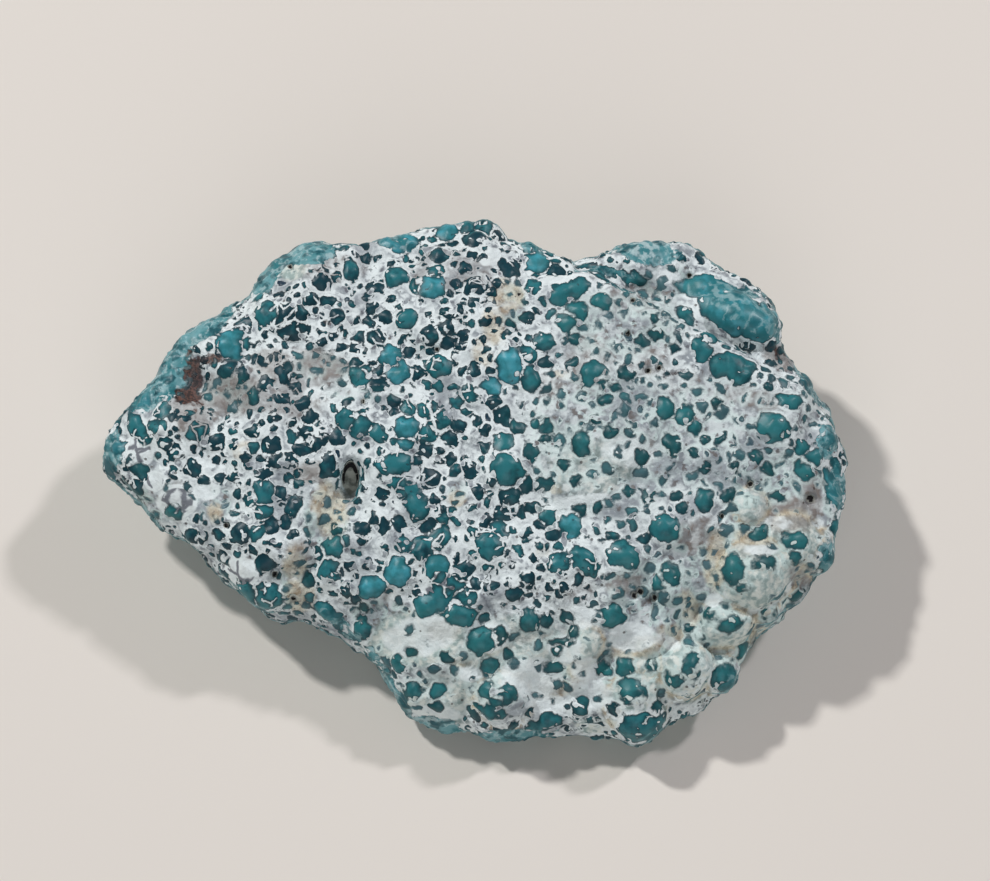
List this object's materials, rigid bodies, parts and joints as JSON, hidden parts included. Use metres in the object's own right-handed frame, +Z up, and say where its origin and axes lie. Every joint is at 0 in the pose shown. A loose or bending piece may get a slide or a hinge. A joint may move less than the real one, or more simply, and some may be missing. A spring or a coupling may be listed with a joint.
{
  "type": "raw turquoise nugget",
  "caption": "Rough natural nugget of turquoise in a pale matrix: a lumpy, flattened stone with rounded knobs, creases and a pit, lying on a flat fracture face.",
  "frame": {"origin": "under the middle of the stone's box, on the surface that it lies on", "axes": "+X along the long side, to the blunt end; +Y to the high back rim; +Z up from the resting face to the broad knobbly face"},
  "size_m": [0.06, 0.0416, 0.0158],
  "materials": {
    "turquoise_in_matrix": "raw turquoise knobs with a waxy sheen, in a matt, pale porous crust with a blue-green rind on the rims"
  },
  "bodies": {
    "root": {"turquoise_nugget": "turquoise_in_matrix"}
  },
  "joints": []
}
